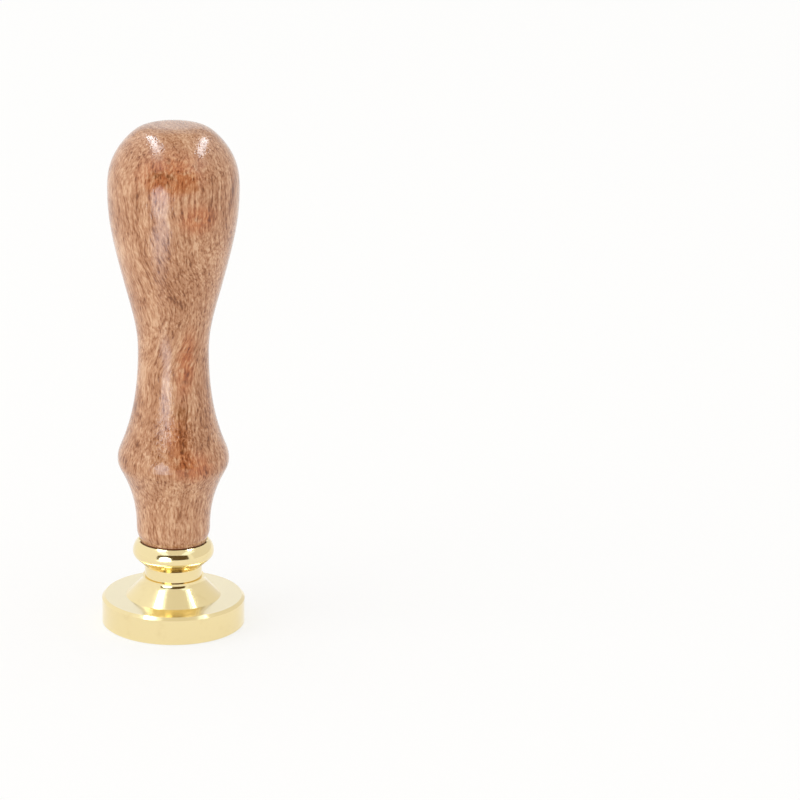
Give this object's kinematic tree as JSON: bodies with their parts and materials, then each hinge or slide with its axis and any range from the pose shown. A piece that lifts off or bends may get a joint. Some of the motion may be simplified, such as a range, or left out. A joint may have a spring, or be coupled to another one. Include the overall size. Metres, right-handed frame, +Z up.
{
  "type": "wax seal stamp",
  "caption": "Hand stamp for sealing wax: a turned wooden handle screwed onto a brass seal head with an engraved round face and a loose brass ferrule between.",
  "frame": {"origin": "centre of the stamping face, which is the lowest plane of the stamp", "axes": "+Z up along the turning axis from the seal head to the handle's crown"},
  "size_m": [0.025, 0.025, 0.0893],
  "materials": {
    "handle_wood": "satin lacquer",
    "insert_brass": "as turned",
    "stud_steel": "zinc plated",
    "ferrule_brass": "polished",
    "head_brass": "polished"
  },
  "bodies": {
    "seal_head": {"seal_head": "head_brass"},
    "ferrule": {"ferrule": "ferrule_brass"},
    "handle": {"handle": "handle_wood", "threaded_insert": "insert_brass", "stud": "stud_steel"}
  },
  "joints": [
    {"name": "handle_turn", "type": "hinge", "parent": "seal_head", "child": "ferrule", "pos_m": [0, 0, 0.00855], "axis": [0, 0, 1], "range_deg": [0, 1800]},
    {"name": "handle_lift", "type": "slide", "parent": "ferrule", "child": "handle", "axis": [0, 0, 1], "range_m": [0, 0.005]}
  ],
  "couplings": [
    {"joint": "handle_lift", "follows": "handle_turn", "m_per_rad": 0.00015915}
  ]
}
